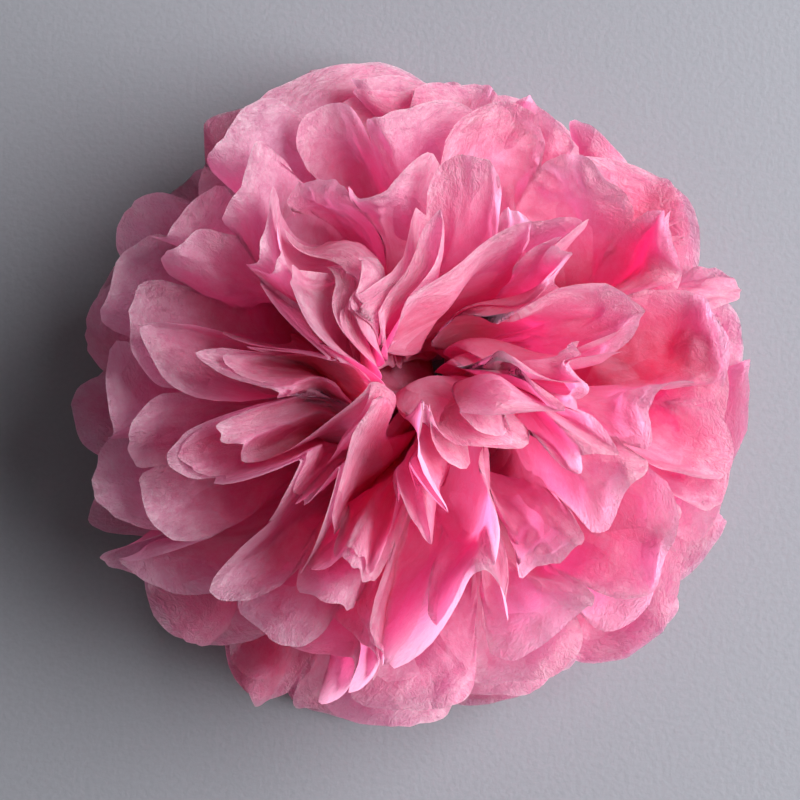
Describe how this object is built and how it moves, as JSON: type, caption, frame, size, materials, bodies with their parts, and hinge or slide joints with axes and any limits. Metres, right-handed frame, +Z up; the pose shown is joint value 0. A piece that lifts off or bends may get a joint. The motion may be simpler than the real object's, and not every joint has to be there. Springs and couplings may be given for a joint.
{
  "type": "tissue paper peony",
  "caption": "Full round paper flower: pleated tissue sheets tied at the middle with wire, cut round at the ends and opened into ruffled petals.",
  "frame": {"origin": "on the surface the flower rests on, below the middle of its outline", "axes": "+Z up out of the open flower, +X towards the side that lies most open, +Y along the slit between the two sides of the strip"},
  "size_m": [0.1664, 0.1692, 0.0895],
  "materials": {
    "tissue": "thin translucent pink tissue",
    "wire": "plain drawn wire"
  },
  "bodies": {
    "root": {"sheet_1": "tissue", "sheet_2": "tissue", "sheet_3": "tissue", "sheet_4": "tissue", "sheet_5": "tissue", "sheet_6": "tissue", "sheet_7": "tissue", "sheet_8": "tissue", "tie_wire": "wire"}
  },
  "joints": []
}
